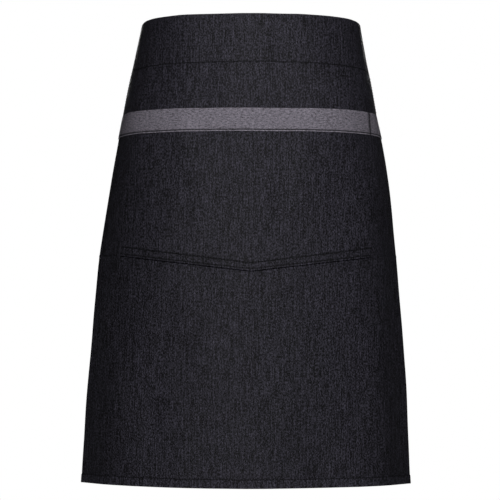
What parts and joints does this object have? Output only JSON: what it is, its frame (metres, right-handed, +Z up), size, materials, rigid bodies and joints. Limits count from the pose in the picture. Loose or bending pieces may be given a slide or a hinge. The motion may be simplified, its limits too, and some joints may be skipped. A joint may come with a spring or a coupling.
{
  "type": "waist apron",
  "caption": "Dark denim waist apron as worn, with a grey strip across it, a full-width pocket layer with a shallow V mouth, and flat ties knotted behind.",
  "frame": {"origin": "middle of the waist opening, half way up the waistband", "axes": "+Z up along the hanging cloth, the front of the apron faces -Y, +X to the right of a viewer who looks at the front"},
  "size_m": [0.3595, 0.2446, 0.5035],
  "materials": {
    "black_denim": "matte twill with fine upright slubs",
    "grey_chambray": "matte plain weave",
    "black_tie_cloth": "matte twill"
  },
  "bodies": {
    "root": {"skirt_panel": "black_denim", "waistband": "black_denim", "contrast_strip": "grey_chambray", "pocket_facing": "black_denim", "pocket_panel": "black_denim", "tie_left": "black_tie_cloth", "tie_right": "black_tie_cloth", "tie_knot": "black_tie_cloth", "tie_tail_left": "black_tie_cloth", "tie_tail_right": "black_tie_cloth"}
  },
  "joints": []
}
